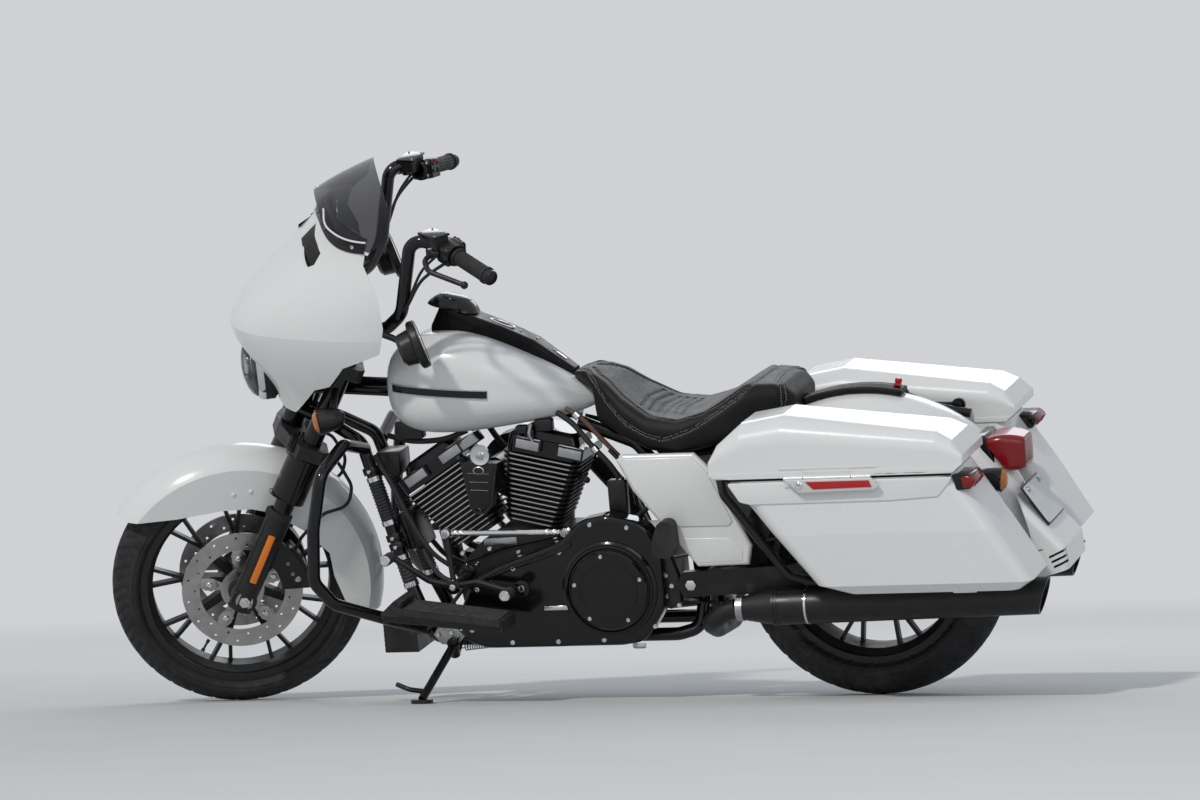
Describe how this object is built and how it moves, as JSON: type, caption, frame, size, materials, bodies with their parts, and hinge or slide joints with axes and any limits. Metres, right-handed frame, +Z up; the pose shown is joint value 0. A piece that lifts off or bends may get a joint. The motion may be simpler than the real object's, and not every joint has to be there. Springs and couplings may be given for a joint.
{
  "type": "touring cruiser motorcycle",
  "caption": "Fork-faired touring motorcycle leaning on its side stand, with hinged hard saddlebags, a solo seat and a finned V engine.",
  "frame": {"origin": "middle of the parked bike's bounding box, on the floor", "axes": "+X towards the front wheel, +Y to the left, the side it leans to, +Z up"},
  "size_m": [2.4217, 0.8976, 1.3651],
  "materials": {
    "white_paint": "satin",
    "black_paint": "gloss",
    "black_satin": "satin",
    "cast_black": "satin",
    "bare_alloy": "brushed",
    "steel": "brushed",
    "chrome": "polished",
    "tyre": "matte",
    "rubber": "matte",
    "leather": "satin",
    "plastic": "gloss",
    "smoked": "gloss",
    "lens": "gloss",
    "red_lens": "gloss",
    "plate": "satin"
  },
  "bodies": {
    "frame": {"air_cleaner": "black_satin", "bag_supports": "black_paint", "console": "black_paint", "cylinders": "cast_black", "derby_cover": "black_satin", "drive_belt": "rubber", "engine_case": "cast_black", "engine_guard": "black_paint", "exhaust_pipes": "black_satin", "fender_strap": "leather", "foot_controls": "chrome", "footrests": "rubber", "frame": "black_paint", "horn_cover": "black_satin", "left_saddlebag": "plastic", "mufflers": "black_satin", "number_plate": "plate", "oil_cooler": "cast_black", "primary_cover": "cast_black", "rear_axle": "steel", "rear_caliper": "cast_black", "rear_fender": "white_paint", "rear_lamps": "red_lens", "rear_shocks": "black_satin", "right_saddlebag": "plastic", "rocker_boxes": "cast_black", "seat": "leather", "side_covers": "white_paint", "swingarm": "black_paint", "tank": "white_paint"},
    "fork": {"front_axle": "steel", "fork_sliders": "cast_black", "fork_tubes": "black_paint", "fork_yokes": "cast_black", "front_calipers": "cast_black", "front_fender": "white_paint", "fairing": "plastic", "headlamp": "lens", "inner_fairing": "plastic", "windshield": "smoked", "handlebar": "black_paint", "grips": "rubber", "hand_controls": "black_satin", "mirrors": "black_satin", "front_signals": "black_satin", "brake_hoses": "rubber"},
    "front_wheel": {"front_tyre": "tyre", "front_wheel": "cast_black", "front_discs": "steel"},
    "rear_wheel": {"rear_tyre": "tyre", "rear_wheel": "cast_black", "rear_disc": "steel", "rear_pulley": "bare_alloy"},
    "side_stand": {"side_stand": "steel"},
    "left_lid": {"left_bag_lid": "plastic"},
    "right_lid": {"right_bag_lid": "plastic"},
    "fuel_door": {"fuel_door": "black_paint"}
  },
  "joints": [
    {"name": "steering", "type": "hinge", "parent": "frame", "child": "fork", "pos_m": [0.74288, 0.02165, 0.67686], "axis": [-0.4311, 0.1715, 0.8858], "range_deg": [-48, 0]},
    {"name": "front_wheel_spin", "type": "hinge", "parent": "fork", "child": "front_wheel", "pos_m": [0.90945, -0.05708, 0.30356], "axis": [-0.3684, 0.8627, -0.3463], "continuous": true},
    {"name": "rear_wheel_spin", "type": "hinge", "parent": "frame", "child": "rear_wheel", "pos_m": [-0.71665, -0.04941, 0.32323], "axis": [-0.0016, 0.9816, -0.1908], "continuous": true},
    {"name": "side_stand_swing", "type": "hinge", "parent": "frame", "child": "side_stand", "pos_m": [0.32185, 0.05225, 0.13544], "axis": [-0.1096, 0.7373, 0.6666], "range_deg": [0, 92]},
    {"name": "left_lid_hinge", "type": "hinge", "parent": "frame", "child": "left_lid", "pos_m": [-0.715, 0.42889, 0.52507], "axis": [-1, 0, 0.0082], "range_deg": [0, 75]},
    {"name": "right_lid_hinge", "type": "hinge", "parent": "frame", "child": "right_lid", "pos_m": [-0.71365, -0.41727, 0.68954], "axis": [1, 0, -0.0082], "range_deg": [0, 75]},
    {"name": "fuel_door_hinge", "type": "hinge", "parent": "frame", "child": "fuel_door", "pos_m": [0.35575, 0.07914, 0.9758], "axis": [-0.0016, 0.9816, -0.1908], "range_deg": [0, 75]}
  ]
}
